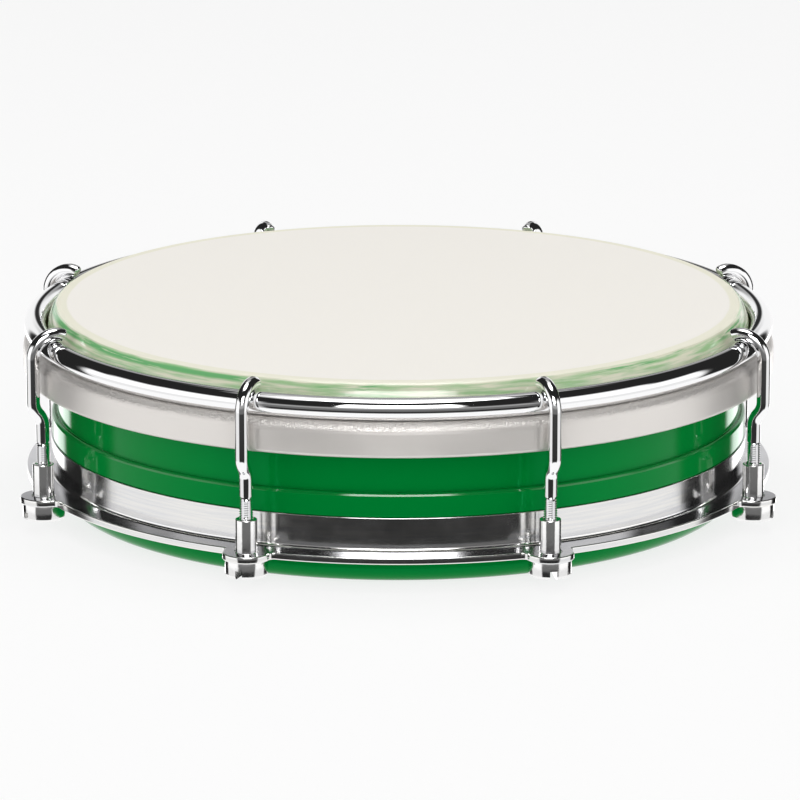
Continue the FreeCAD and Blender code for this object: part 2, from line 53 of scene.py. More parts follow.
def edit(kind, action="SELECT"):
    """Enter edit mode by points or edges, with all of the piece selected or none."""
    bpy.ops.object.mode_set(mode="EDIT")
    bpy.ops.mesh.select_mode(type=kind)
    bpy.ops.mesh.select_all(action=action)


def close_up(threshold=TOUCH):
    """Join points that lie on each other, and turn every face outward."""
    bpy.ops.mesh.select_all(action="SELECT")
    bpy.ops.mesh.remove_doubles(threshold=threshold)
    bpy.ops.mesh.normals_make_consistent(inside=False)


def turn(name, outline):
    """Draw an outline of (radius, height) corners as rings about the drum's axis."""
    radius, height = outline[0]
    bpy.ops.mesh.primitive_circle_add(vertices=ROUND, radius=radius, location=(0, 0, height))
    bpy.ops.object.transform_apply(location=True)
    piece = bpy.context.object
    piece.name = name
    edit("EDGE")
    for next_radius, next_height in outline[1:]:
        bpy.ops.mesh.extrude_edges_move(TRANSFORM_OT_translate={"value": (0, 0, next_height - height)})
        wider = next_radius / radius
        bpy.ops.transform.resize(value=(wider, wider, 1), center_override=(0, 0, 0))
        radius, height = next_radius, next_height
    close_up()
    return piece


def pick_ring(piece, radius, height):
    """Select the edges that run round the piece at this radius and height."""
    bpy.ops.mesh.select_all(action="DESELECT")
    mesh = bmesh.from_edit_mesh(piece.data)
    for edge in mesh.edges:
        ends = [(point.co.xy.length - radius, point.co.z - height) for point in edge.verts]
        edge.select = all(abs(across) < TOUCH and abs(up) < TOUCH for across, up in ends)
    mesh.select_flush_mode()
    bmesh.update_edit_mesh(piece.data)


def round_rings(piece, *corners):
    """Round corners that run round the piece. Each has a radius, height, size and steps."""
    for radius, height, size, steps in corners:
        pick_ring(piece, radius, height)
        bpy.ops.mesh.bevel(offset=size, segments=steps, affect="EDGES", clamp_overlap=False)


def pick(*pieces):
    """Leave edit mode and select these pieces alone, the last one active."""
    bpy.ops.object.mode_set(mode="OBJECT")
    bpy.ops.object.select_all(action="DESELECT")
    for piece in pieces:
        piece.select_set(True)
    bpy.context.view_layer.objects.active = pieces[-1]


def smooth(piece, angle=35):
    """Shade the piece smooth up to an angle, led by its larger faces."""
    pick(piece)
    bpy.ops.object.shade_smooth_by_angle(angle=math.radians(angle))
    bpy.ops.object.modifier_add(type="WEIGHTED_NORMAL")
    piece.modifiers[-1].keep_sharp = True
    bpy.ops.object.modifier_apply(modifier=piece.modifiers[-1].name)


def seat(piece, body, material, node):
    """Give the piece its finish, let it ride on its body and stand for its solid."""
    piece.data.materials.clear()
    piece.data.materials.append(material)
    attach(piece, body)
    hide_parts(node)


def new_finish(name):
    """A new material, its nodes and its shader."""
    material = bpy.data.materials.new(name)
    material.use_nodes = True
    nodes = material.node_tree.nodes
    return material, nodes, nodes["Principled BSDF"]


def feed(entry, given):
    """Give a node's socket a value, or a link from another node's socket."""
    if isinstance(given, bpy.types.NodeSocket):
        entry.id_data.links.new(given, entry)
    else:
        entry.default_value = given


def settle(node, **settings):
    """Set a node's options and feed its sockets, all by name."""
    for name, setting in settings.items():
        if hasattr(node, name):
            setattr(node, name, setting)
        else:
            feed(node.inputs[name.replace("_", " ")], setting)
    return node


def work_out(nodes, operation, *given):
    """What an operation makes of two or three values."""
    node = settle(nodes.new("ShaderNodeMath"), operation=operation)
    for entry, value in zip(node.inputs, given):
        feed(entry, value)
    return node.outputs["Value"]


def spread(nodes, value, start, end, low=0, high=1, soft=False):
    """Low up to the start of a value's run, high from its end on, and a slide between."""
    node = settle(
        nodes.new("ShaderNodeMapRange"), interpolation_type="SMOOTHSTEP" if soft else "LINEAR",
        Value=value, From_Min=start, From_Max=end, To_Min=low, To_Max=high)
    return node.outputs["Result"]


def mix(nodes, share, first, second, kind="RGBA"):
    """A colour, or a number, that goes from the first to the second as the share grows."""
    node = settle(nodes.new("ShaderNodeMix"), data_type=kind)
    entry, result = {"FLOAT": (2, 0), "RGBA": (6, 2)}[kind]
    feed(node.inputs[0], share)
    feed(node.inputs[entry], first)
    feed(node.inputs[entry + 1], second)
    return node.outputs[result]


def noise(nodes, place, scale, detail, roughness=0.5):
    """Soft clouds, so many to a metre, with so many finer layers in them."""
    node = settle(
        nodes.new("ShaderNodeTexNoise"), Vector=place, Scale=scale, Detail=detail, Roughness=roughness)
    return node.outputs["Fac"]


def relief(nodes, height, strength, distance):
    """The slope that a fine height gives the surface."""
    node = settle(nodes.new("ShaderNodeBump"), Height=height, Strength=strength, Distance=distance)
    return node.outputs["Normal"]


band_stands = 1.25 * MM
band_tall = 5.35 * MM
wall = 5.6 * MM
lower_set_in = 0.25 * MM
edge_bevel = 3.2 * MM
edge_round = 1.05 * MM
foot_round = 3.95 * MM
band_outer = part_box("drum_shell")[1].x
shell_outer = band_outer - band_stands
shell_inner = shell_outer - wall
shell_lower = shell_outer - lower_set_in
edge_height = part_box("drum_shell")[1].z
seat_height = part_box("tension_ring")[1].z
ledge_height = seat_height + band_tall
# The band's upper edge: a strip that leans in by 25 degrees, then a flatter chamfer.
strip_low = ledge_height - 0.72 * MM
strip_high = ledge_height - 0.29 * MM
strip_outer = band_outer - 0.2 * MM
ledge_outer = band_outer - 0.55 * MM
shell = turn("shell", (
    (shell_inner, 0),
    (shell_lower, 0),
    (shell_lower, seat_height),
    (band_outer, seat_height),
    (band_outer, strip_low),
    (strip_outer, strip_high),
    (ledge_outer, ledge_height),
    (shell_outer, ledge_height),
    (shell_outer, edge_height),
    (shell_inner + edge_bevel, edge_height),
    (shell_inner, edge_height - edge_bevel),
    (shell_inner, 0),
))
round_rings(
    shell,
    (shell_outer, edge_height, edge_round, 6),
    (shell_outer, ledge_height, 0.12 * MM, 2),
    (ledge_outer, ledge_height, 0.1 * MM, 2),
    (strip_outer, strip_high, 0.06 * MM, 3),
    (band_outer, strip_low, 0.06 * MM, 2),
    (band_outer, seat_height, 0.3 * MM, 3),
    (shell_lower, 0, foot_round, 10),
    (shell_inner, 0, 0.3 * MM, 2),
)
smooth(shell)

green, nodes, shader = new_finish("gloss_green_plastic")
place = nodes.new("ShaderNodeTexCoord").outputs["Object"]
upward = settle(nodes.new("ShaderNodeSeparateXYZ"), Vector=place).outputs["Z"]
# The plastic tints what it mirrors, except along the band's polished strip.
polish_low = ledge_height - 0.76 * MM
polish_high = ledge_height - 0.24 * MM
polish_fade = 0.06 * MM
polished = work_out(
    nodes, "MULTIPLY", spread(nodes, upward, polish_low, polish_low + polish_fade),
    spread(nodes, upward, polish_high - polish_fade, polish_high, 1, 0))
tint = mix(nodes, polished, (0.05, 1, 0.4, 1), (1, 1, 1, 1))
# Hands and tables have dulled the foot.
bending = spread(nodes, polished, 0, 1, 1.36, 1.62)
dulling = spread(nodes, upward, 0.5 * MM, 4.5 * MM, -0.16, 0)
flow = noise(nodes, place, 45, 2)
orange_peel = noise(nodes, place, 260, 1)
settle(
    shader, Base_Color=(0, 0.21, 0.032, 1), Specular_Tint=tint,
    IOR=work_out(nodes, "ADD", bending, dulling),
    Roughness=spread(nodes, flow, 0, 1, 0.05, 0.13),
    Normal=relief(nodes, orange_peel, 0.05, 0.05 * MM))
seat(shell, "drum", green, "drum_shell")


# Head film. Two plies of polyester film, coated off-white on top as far as the
# crown, and bare beyond, where the shell's green shows through the skirt. It is
# bent over the bearing edge and set in the collar.
film = 0.35 * MM
flat_radius = 60 * MM
film_low, film_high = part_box("head_film")


def fill_ring(piece, radius, height):
    """Close the piece with a face at this radius and height."""
    pick_ring(piece, radius, height)
    bpy.ops.mesh.edge_face_add()


def drum_place(nodes):
    """A point's place, its parts along the axes, and the place unrolled round the drum."""
    place = nodes.new("ShaderNodeTexCoord").outputs["Object"]
    axes = settle(nodes.new("ShaderNodeSeparateXYZ"), Vector=place).outputs
    way = work_out(nodes, "ARCTAN2", axes["Y"], axes["X"])
    unrolled = settle(nodes.new("ShaderNodeCombineXYZ"), X=way, Y=axes["Z"])
    return place, axes, unrolled.outputs["Vector"]


def from_axis(nodes, axes):
    """How far a point lies from the drum's axis."""
    level = settle(nodes.new("ShaderNodeCombineXYZ"), X=axes["X"], Y=axes["Y"])
    length = settle(nodes.new("ShaderNodeVectorMath"), operation="LENGTH")
    feed(length.inputs[0], level.outputs["Vector"])
    return length.outputs["Value"]


def streaks(nodes, unrolled, across, up, detail, roughness=0.5):
    """Noise drawn out on the drum: so many to a radian across, so many to a metre up."""
    drawn = settle(nodes.new("ShaderNodeMapping"), Vector=unrolled, Scale=(across, up, 1))
    return noise(nodes, drawn.outputs["Vector"], 1, detail, roughness)


def colours(nodes, value, *stops):
    """A colour that goes from the first stop to the last as a value grows."""
    node = settle(nodes.new("ShaderNodeValToRGB"), Fac=value)
    for element, (position, colour) in zip(node.color_ramp.elements, stops):
        element.position = position
        element.color = colour
    return node.outputs["Color"]


playing_height = film_high.z
skirt_outer = film_high.x
skirt_inner = skirt_outer - film
skirt_turn = math.radians(63)
crown_centre = shell_outer - edge_round
crown_corner = crown_centre + (edge_round + film) * math.tan(skirt_turn / 2)
under_corner = crown_centre + edge_round * math.tan(skirt_turn / 2)
knee = playing_height - (skirt_outer - crown_corner) * math.tan(skirt_turn)
under_knee = playing_height - film - (skirt_inner - under_corner) * math.tan(skirt_turn)
bulge = 0.28 * MM
bulge_share = 0.55
bulge_radius = crown_corner + bulge_share * (skirt_outer - crown_corner) + bulge * math.sin(skirt_turn)
bulge_height = playing_height - bulge_share * (playing_height - knee) + bulge * math.cos(skirt_turn)
head = turn("head", (
    (flat_radius, playing_height - film),
    (under_corner, playing_height - film),
    (skirt_inner, under_knee),
    (skirt_inner, film_low.z),
    (skirt_outer, film_low.z),
    (skirt_outer, knee),
    (bulge_radius, bulge_height),
    (crown_corner, playing_height),
    (flat_radius, playing_height),
))
round_rings(
    head,
    (crown_corner, playing_height, 0.8 * MM, 8),
    (bulge_radius, bulge_height, 0.75 * MM, 6),
    (under_corner, playing_height - film, under_corner - crown_centre, 6),
    (skirt_outer, knee, 1.1 * MM, 6),
    (skirt_inner, under_knee, 1.1 * MM, 6),
)
fill_ring(head, flat_radius, playing_height)
fill_ring(head, flat_radius, playing_height - film)
smooth(head)

# Radii over which the film's look changes, and how far each such line wanders.
COATING_ENDS = (73.9 * MM, 74.5 * MM)
SKIRT_STARTS = (76.2 * MM, 76.7 * MM)
GREEN_STARTS = (76.6 * MM, 77.0 * MM)
GREEN_ENDS = (77.3 * MM, 77.7 * MM)
WANDER = 0.5 * MM
coated, nodes, shader = new_finish("coated_film")
place, axes, unrolled = drum_place(nodes)
waver = noise(nodes, place, 60, 2)
reach = work_out(nodes, "MULTIPLY_ADD", waver, WANDER, from_axis(nodes, axes))
bare = spread(nodes, reach, *COATING_ENDS, soft=True)
skirt = spread(nodes, reach, *SKIRT_STARTS, soft=True)
# Streaks of green run round the skirt, from a plain cream edge.
streak = streaks(nodes, unrolled, 7, 1300, 3)
streak_colour = colours(nodes, streak, (0.36, (0.38, 0.6, 0.32, 1)), (0.6, (0.76, 0.76, 0.6, 1)))
skirt_colour = mix(nodes, skirt, (0.86, 0.84, 0.7, 1), streak_colour)
# Where the film bends off the bearing edge the shell shows most, in ragged
# strokes, and more of them on the left.
bend = work_out(
    nodes, "MULTIPLY", spread(nodes, reach, *GREEN_STARTS, soft=True),
    spread(nodes, reach, *GREEN_ENDS, 1, 0, soft=True))
ragged = streaks(nodes, unrolled, 4, 1000, 4, 0.65)
threshold = spread(nodes, axes["X"], -12 * MM, -50 * MM, 0.57, 0.36, soft=True)
strokes = spread(nodes, work_out(nodes, "SUBTRACT", ragged, threshold), -0.04, 0.06)
bend_share = work_out(nodes, "MULTIPLY", bend, strokes)
bare_colour = mix(nodes, bend_share, skirt_colour, (0.17, 0.48, 0.19, 1))
# Sprayed grain on the coating, and fine upright creases on the bare film.
grain = noise(nodes, place, 1800, 2)
creases = streaks(nodes, unrolled, 60, 200, 3)
settle(
    shader, IOR=1.62, Base_Color=mix(nodes, bare, (0.93, 0.9, 0.84, 1), bare_colour),
    Roughness=spread(nodes, skirt, 0, 1, 0.62, 0.09),
    Normal=relief(nodes, mix(nodes, bare, grain, creases, "FLOAT"), 0.25, 0.12 * MM))
seat(head, "drum", coated, "head_film")


# Head collar. A channel rolled from aluminium sheet and left satin, with the
# film's edge set in resin inside it. Its upper outer corner is rolled to a
# shoulder that the counter hoop presses on.
sheet = 0.6 * MM
collar_gap = 0.55 * MM
lip = 3.35 * MM
shoulder_round = 2.65 * MM
heel_round = 0.9 * MM
collar_low, collar_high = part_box("head_collar")
collar_outer = collar_high.x
collar_inner = shell_outer + collar_gap
lip_end = collar_outer - lip
collar = turn("collar", (
    (collar_inner, collar_high.z),
    (collar_inner, collar_low.z),
    (collar_outer, collar_low.z),
    (collar_outer, collar_high.z),
    (lip_end, collar_high.z),
    (lip_end, collar_high.z - sheet),
    (collar_outer - sheet, collar_high.z - sheet),
    (collar_outer - sheet, collar_low.z + sheet),
    (collar_inner + sheet, collar_low.z + sheet),
    (collar_inner + sheet, collar_high.z),
    (collar_inner, collar_high.z),
))
round_rings(
    collar,
    (collar_outer, collar_high.z, shoulder_round, 9),
    (collar_outer - sheet, collar_high.z - sheet, shoulder_round - sheet, 7),
    (collar_inner, collar_low.z, heel_round, 5),
    (collar_outer, collar_low.z, heel_round, 5),
)
smooth(collar)

satin, nodes, shader = new_finish("satin_aluminium")
place, axes, unrolled = drum_place(nodes)
round_way = settle(nodes.new("ShaderNodeTangent"), direction_type="RADIAL", axis="Z")
lines = streaks(nodes, unrolled, 6, 9000, 3)
haze = noise(nodes, place, 160, 4)
worked = work_out(nodes, "ADD", lines, haze)
# The rolled shoulder is lightly pitted.
pits = noise(nodes, place, 1700, 2, 0.7)
pit_depth = spread(nodes, axes["Z"], collar_high.z - 2.1 * MM, collar_high.z - 1.2 * MM, 0, 120)
pitted = work_out(nodes, "MULTIPLY_ADD", pits, pit_depth, worked)
settle(
    shader, Base_Color=(0.74, 0.71, 0.68, 1), Metallic=0.7,
    Anisotropic=0.65, Anisotropic_Rotation=0.25, Tangent=round_way.outputs["Tangent"],
    Roughness=spread(nodes, worked, 0.7, 1.3, 0.36, 0.44),
    Normal=relief(nodes, pitted, 0.6, 0.004 * MM))
seat(collar, "drum", satin, "head_collar")


# Counter hoop. A five millimetre steel bar bent to a ring and chromed. It lies
# on the collar's shoulder, and the tuning hooks pull it down.
hoop_low, hoop_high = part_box("counter_hoop")
bar = (hoop_high.z - hoop_low.z) / 2
hoop_radius = hoop_high.x - bar
hoop_height = hoop_low.z + bar
bpy.ops.mesh.primitive_circle_add(
    vertices=40, radius=bar, location=(hoop_radius, 0, hoop_height), rotation=(math.pi / 2, 0, 0))
hoop = bpy.context.object
hoop.name = "hoop"
bpy.ops.object.transform_apply(location=True, rotation=True)
edit("EDGE")
bpy.ops.mesh.spin(steps=ROUND, angle=2 * math.pi, center=(0, 0, 0), axis=(0, 0, 1))
close_up()
smooth(hoop, 60)

chrome, nodes, shader = new_finish("chrome_plate")
place = nodes.new("ShaderNodeTexCoord").outputs["Object"]
cloud = noise(nodes, place, 120, 3)
settle(
    shader, Base_Color=(0.87, 0.87, 0.875, 1), Metallic=1,
    Roughness=spread(nodes, cloud, 0, 1, 0.02, 0.07))
seat(hoop, "drum", chrome, "counter_hoop")


# Tension ring. Steel sheet pressed to an angle section and plated: the wall
# seats under the shell's band, and the flange carries a round ear with a hole
# for each tube nut.
HOOKS = 8
step_turn = 2 * math.pi / HOOKS
first_way = step_turn / 2
thick = 1.5 * MM
ring_gap = 0.3 * MM
flange = 5.4 * MM
ear = 5.15 * MM
blend = 1.2 * MM
nut_hole = 2.4 * MM
fold = 2.3 * MM
ring_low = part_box("tension_ring")[0]
ring_inner = shell_lower + ring_gap
ring_wall = ring_inner + thick
flange_outer = ring_wall + flange
flange_top = ring_low.z + thick
hook_circle = flange_outer + 1.0 * MM
# An ear's round runs into the flange's edge through a hollow round on each side.
blend_away = flange_outer + blend
blend_way = math.acos(
    (blend_away ** 2 + hook_circle ** 2 - (ear + blend) ** 2) / (2 * blend_away * hook_circle))
ear_turn = math.atan2(
    blend_away * math.sin(blend_way), blend_away * math.cos(blend_way) - hook_circle)
blend_turn = ear_turn - blend_way


def arc(way, away, angle, steps):
    """Carry the selected point round a centre; the operator counts clockwise."""
    bpy.ops.mesh.spin(
        steps=steps, angle=-angle, axis=(0, 0, 1),
        center=(away * math.cos(way), away * math.sin(way), ring_low.z))


def draw_up(height):
    """Draw what is selected straight up."""
    bpy.ops.mesh.extrude_region_move(TRANSFORM_OT_translate={"value": (0, 0, height)})


def cut_or_join(piece, tool, operation):
    """Join a tool to the piece, or cut the piece with it."""
    pick(piece)
    bpy.ops.object.modifier_add(type="BOOLEAN")
    change = piece.modifiers[-1]
    change.operation = operation
    change.solver = "EXACT"
    change.object = tool
    bpy.ops.object.modifier_apply(modifier=change.name)
    bpy.data.objects.remove(tool)


bpy.ops.mesh.primitive_plane_add(size=MM, location=(hook_circle, 0, ring_low.z))
ring = bpy.context.object
ring.name = "ring"
bpy.ops.object.transform_apply(location=True)
edit("VERT")
bpy.ops.mesh.merge(type="CENTER")
bpy.ops.transform.translate(value=(
    hook_circle * (math.cos(first_way) - 1) + ear * math.cos(first_way - ear_turn),
    hook_circle * math.sin(first_way) + ear * math.sin(first_way - ear_turn), 0))
for index in range(HOOKS):
    way = first_way + index * step_turn
    arc(way, hook_circle, 2 * ear_turn, 44)
    arc(way + blend_way, blend_away, -blend_turn, 6)
    arc(0, 0, step_turn - 2 * blend_way, 32)
    arc(way + step_turn - blend_way, blend_away, -blend_turn, 6)
bpy.ops.mesh.select_all(action="SELECT")
bpy.ops.mesh.remove_doubles(threshold=TOUCH)
bpy.ops.mesh.edge_face_add()
draw_up(thick)
bpy.ops.mesh.select_all(action="SELECT")
bpy.ops.mesh.normals_make_consistent(inside=False)
bpy.ops.object.mode_set(mode="OBJECT")

# The plate's middle and its holes are cut out, and the angle of wall and
# flange, turned on its own, is joined to it.
cutters = []
middle = (ring_low.z + flange_top) / 2
bpy.ops.mesh.primitive_cylinder_add(
    vertices=ROUND, radius=ring_wall + thick, depth=3 * thick, location=(0, 0, middle))
cutters.append(bpy.context.object)
for index in range(HOOKS):
    way = first_way + index * step_turn
    bpy.ops.mesh.primitive_cylinder_add(
        vertices=56, radius=nut_hole, depth=3 * thick,
        location=(hook_circle * math.cos(way), hook_circle * math.sin(way), middle))
    cutters.append(bpy.context.object)
pick(*cutters)
bpy.ops.object.join()
cut_or_join(ring, bpy.context.object, "DIFFERENCE")
overlap = ring_wall + 3.2 * MM
angle = turn("angle", (
    (ring_inner, seat_height),
    (ring_inner, ring_low.z),
    (overlap, ring_low.z),
    (overlap, flange_top),
    (ring_wall, flange_top),
    (ring_wall, seat_height),
    (ring_inner, seat_height),
))
cut_or_join(ring, angle, "UNION")
edit("EDGE", "DESELECT")
mesh = bmesh.from_edit_mesh(ring.data)
for edge in mesh.edges:
    first, second = (point.co for point in edge.verts)
    level = abs(first.z - second.z) < TOUCH
    outer = min(first.xy.length, second.xy.length) > ring_wall + thick
    crisp = len(edge.link_faces) == 2 and edge.calc_face_angle() > 1
    edge.select = level and outer and crisp
mesh.select_flush_mode()
bmesh.update_edit_mesh(ring.data)
bpy.ops.mesh.bevel(offset=0.3 * MM, segments=4, affect="EDGES")
round_rings(
    ring,
    (ring_wall, flange_top, fold - thick, 5),
    (ring_inner, ring_low.z, fold, 8),
    (ring_wall, seat_height, 0.18 * MM, 3),
)
smooth(ring)

plated, nodes, shader = new_finish("plated_sheet")
place, axes, unrolled = drum_place(nodes)
cloud = noise(nodes, place, 160, 5, 0.6)
# Rolling left faint lines along the sheet.
lines = streaks(nodes, unrolled, 4, 1500, 4, 0.6)
plate = colours(nodes, lines, (0.33, (0.78, 0.785, 0.8, 1)), (0.6, (0.87, 0.86, 0.84, 1)))
# Painted shade: faces that look up, the flange's upper side with the ears, are painted a darker grey
# so that they mirror less light.
facing = nodes.new("ShaderNodeNewGeometry").outputs["True Normal"]
facing_up = settle(nodes.new("ShaderNodeSeparateXYZ"), Vector=facing).outputs["Z"]
painted_shade_on_top = spread(nodes, facing_up, 0.85, 0.98)
# The pressed flange droops.
droop = math.radians(6)
dents = work_out(nodes, "MULTIPLY", cloud, 0.006 * MM)
fallen = work_out(nodes, "MULTIPLY_ADD", from_axis(nodes, axes), -math.tan(droop), dents)
# The base colour goes to the painted shade where faces look up.
settle(
    shader, Metallic=1, Base_Color=mix(nodes, painted_shade_on_top, plate, (0.5, 0.5, 0.52, 1)),
    Roughness=spread(nodes, cloud, 0.3, 0.7, 0.08, 0.17), Normal=relief(nodes, fallen, 1, 1))
seat(ring, "drum", plated, "tension_ring")


# Tube nuts. Turned from steel and plated: a barrel that goes up through its
# ear, with a bore for the hook's thread, and a round head below with a slot
# for a screwdriver or a coin.
SLOT_TURNS = (17, 142, 58, 121, 35, 69.5, 98.5, 160)
turned_steel, nodes, shader = new_finish("turned_steel")
place = nodes.new("ShaderNodeTexCoord").outputs["Object"]
cloud = noise(nodes, place, 420, 4, 0.6)
settle(
    shader, Base_Color=(0.84, 0.835, 0.83, 1), Metallic=1,
    Roughness=spread(nodes, cloud, 0.3, 0.7, 0.07, 0.2), Normal=relief(nodes, cloud, 0.5, 0.06 * MM))
barrel = 2.35 * MM
bore = 1.55 * MM
head_clear = 0.05 * MM
slot_wide = 1.5 * MM
slot_deep = 1.95 * MM
nut_low, nut_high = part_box("tuning_nut_1")
nut_head = (nut_high.x - nut_low.x) / 2
head_top = ring_low.z - head_clear
bore_end = nut_high.z - 9.6 * MM
centre = bore / 4
turned_nut = turn("turned_nut", (
    (centre, nut_low.z),
    (nut_head, nut_low.z),
    (nut_head, head_top),
    (barrel, head_top),
    (barrel, nut_high.z),
    (bore, nut_high.z),
    (bore, bore_end),
    (centre, bore_end),
))
fill_ring(turned_nut, centre, nut_low.z)
fill_ring(turned_nut, centre, bore_end)
round_rings(
    turned_nut,
    (nut_head, nut_low.z, 0.8 * MM, 6),
    (nut_head, head_top, 0.12 * MM, 2),
    (barrel, nut_high.z, 0.2 * MM, 3),
    (bore, nut_high.z, 0.25 * MM, 1),
)
pick(turned_nut)
bpy.ops.mesh.primitive_cube_add(size=1, location=(0, 0, nut_low.z))
slot_cutter = bpy.context.object
slot_cutter.scale = (4 * nut_head, slot_wide, 2 * slot_deep)
bpy.ops.object.transform_apply(location=True, scale=True)
cut_or_join(turned_nut, slot_cutter, "DIFFERENCE")
smooth(turned_nut, 30)


def copy_of(pattern, name, change):
    """A copy of a piece, moved or turned to its own place."""
    piece = pattern.copy()
    piece.data = pattern.data.copy()
    piece.name = name
    bpy.context.scene.collection.objects.link(piece)
    piece.data.transform(change)
    return piece


for number, slot_turn in enumerate(SLOT_TURNS, 1):
    node = "tuning_nut_%d" % number
    low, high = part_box(node)
    middle = Matrix.Translation(((low.x + high.x) / 2, (low.y + high.y) / 2, 0))
    turned_so = Matrix.Rotation(math.radians(slot_turn), 4, "Z")
    nut = copy_of(turned_nut, "nut_%d" % number, middle @ turned_so)
    seat(nut, "nut_%d" % number, turned_steel, node)
bpy.data.objects.remove(turned_nut)


# Tuning hooks. Steel rod, chromed: the crook goes over the counter hoop, the
# upper leg clears the collar, a double bend brings the rod in to the ear, and
# the lower end has an M3 thread.
PITCH = 0.5 * MM
rod = 1.45 * MM
root = 1.11 * MM
ridge = 0.39 * MM
crook_clear = 0.1 * MM
leg_clear = 1.15 * MM
tip_turn = math.radians(31)
crook = bar + crook_clear + rod
leg = collar_outer + leg_clear + rod
bend_top = collar_low.z - 0.6 * MM
bend_bottom = bend_top - 5.4 * MM
thread_top = bend_bottom - 3.9 * MM
thread_end = nut_high.z - 7.6 * MM
offset = leg - hook_circle
bend = (offset ** 2 + (bend_top - bend_bottom) ** 2) / (4 * offset)
bend_turn = 2 * math.atan(offset / (bend_top - bend_bottom))
shoulder_height = hoop_height + crook - (leg - hoop_radius)


def bend_rod(radius, height, angle, steps):
    """Carry the rod's end round a centre: outward by a negative angle, inward by a positive one."""
    bpy.ops.mesh.spin(steps=steps, angle=angle, center=(radius, 0, height), axis=(0, 1, 0))


bpy.ops.mesh.primitive_circle_add(vertices=32, radius=root, location=(hook_circle, 0, thread_end))
bpy.ops.object.transform_apply(location=True)
bent_rod = bpy.context.object
bent_rod.name = "bent_rod"
edit("EDGE")
bpy.ops.mesh.edge_face_add()
draw_up(thread_top - thread_end)
draw_up(rod - root)
bpy.ops.transform.resize(value=(rod / root, rod / root, 1))
draw_up(bend_bottom - thread_top - (rod - root))
bend_rod(hook_circle + bend, bend_bottom, -bend_turn, 8)
bend_rod(leg - bend, bend_top, bend_turn, 8)
draw_up(shoulder_height - bend_top)
bend_rod(hoop_radius, shoulder_height, math.pi / 2, 14)
bend_rod(hoop_radius, hoop_height, tip_turn, 5)
bpy.ops.mesh.bevel(offset=0.7 * MM, segments=5, affect="EDGES")
smooth(bent_rod, 50)


def pick_points(piece, wanted):
    """Select the piece's points for which the test holds."""
    bpy.ops.mesh.select_all(action="DESELECT")
    mesh = bmesh.from_edit_mesh(piece.data)
    for point in mesh.verts:
        point.select = wanted(point.co)
    bmesh.update_edit_mesh(piece.data)


# The thread starts as one upright line beside the rod, drawn out at its middle
# to a ridge, and winds up the rod from there.
bpy.ops.mesh.primitive_plane_add(
    size=PITCH, location=(root + PITCH / 2, 0, thread_end + PITCH / 2), rotation=(math.pi / 2, 0, 0))
bpy.ops.object.transform_apply(location=True, rotation=True)
thread = bpy.context.object
edit("VERT")
pick_points(thread, lambda at: at.x > root + PITCH / 2)
bpy.ops.mesh.delete(type="VERT")
bpy.ops.mesh.select_all(action="SELECT")
bpy.ops.mesh.subdivide(number_cuts=1)
pick_points(thread, lambda at: abs(at.z - thread_end - PITCH / 2) < 0.1 * PITCH)
bpy.ops.transform.translate(value=(ridge, 0, 0))
bpy.ops.object.mode_set(mode="OBJECT")
bpy.ops.object.modifier_add(type="SCREW")
helix = thread.modifiers[-1]
helix.axis = "Z"
helix.angle = 2 * math.pi
helix.screw_offset = PITCH
helix.steps = 28
helix.render_steps = 28
helix.iterations = int((thread_top - thread_end) / PITCH)
helix.use_merge_vertices = True
helix.merge_threshold = TOUCH
bpy.ops.object.modifier_apply(modifier=helix.name)
thread.data.transform(Matrix.Translation((hook_circle, 0, 0)))
edit("VERT")
close_up(TOUCH / 2)
smooth(thread, 30)
pick(thread, bent_rod)
bpy.ops.object.join()
for index in range(HOOKS):
    turned_so = Matrix.Rotation(first_way + index * step_turn, 4, "Z")
    hook = copy_of(bent_rod, "hook_%d" % (index + 1), turned_so)
    seat(hook, "hook_%d" % (index + 1), chrome, "tuning_hook_%d" % (index + 1))
bpy.data.objects.remove(bent_rod)


# Resin bead. Cast in the collar's channel round the film's edge: the solid
# itself stays, and gets a cloudy amber finish.
resin, nodes, shader = new_finish("cast_resin")
place = nodes.new("ShaderNodeTexCoord").outputs["Object"]
cloud = noise(nodes, place, 90, 3)
amber = colours(nodes, cloud, (0, (0.5, 0.42, 0.26, 1)), (1, (0.72, 0.66, 0.48, 1)))
settle(shader, Base_Color=amber)
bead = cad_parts["resin_bead"]
bead.data.materials.clear()
bead.data.materials.append(resin)


# The studio: a pale floor, four soft boxes, and a dome that only reflections
# see. The dome is painted with what stands round polished metal in a studio:
# white panels to the sides, in front, above and behind, and black between them.
WHITE = (1, 1, 1, 1)


def add_shaders(nodes, share, first, second, result):
    """End a material in two shaders that share its surface."""
    both = nodes.new("ShaderNodeMixShader")
    for entry, given in zip(both.inputs, (share, first, second)):
        feed(entry, given)
    feed(nodes[result].inputs["Surface"], both.outputs["Shader"])


bpy.ops.mesh.primitive_plane_add(size=12, location=(0, 0, 0))
floor = bpy.context.object
floor.name = "floor"
floor.visible_glossy = False
pale, nodes, shader = new_finish("pale_floor")
settle(shader, Base_Color=(0.9, 0.9, 0.9, 1), Roughness=0.9)
glow = settle(nodes.new("ShaderNodeEmission"), Color=WHITE, Strength=1)
add_shaders(nodes, 0.8, shader.outputs["BSDF"], glow.outputs["Emission"], "Material Output")
floor.data.materials.append(pale)

# The white around is full for the camera, glossy and see-through rays, and a
# dim fill for the rest.
world = bpy.data.worlds.new("studio")
bpy.context.scene.world = world
world.use_nodes = True
nodes = world.node_tree.nodes
ray = nodes.new("ShaderNodeLightPath").outputs
seen = work_out(nodes, "MAXIMUM", ray["Is Camera Ray"], ray["Is Glossy Ray"])
shown = work_out(nodes, "MAXIMUM", seen, ray["Is Transmission Ray"])
fill = settle(nodes["Background"], Color=WHITE, Strength=0.3)
backdrop = settle(nodes.new("ShaderNodeBackground"), Color=WHITE, Strength=1)
add_shaders(nodes, shown, fill.outputs["Background"], backdrop.outputs["Background"], "World Output")


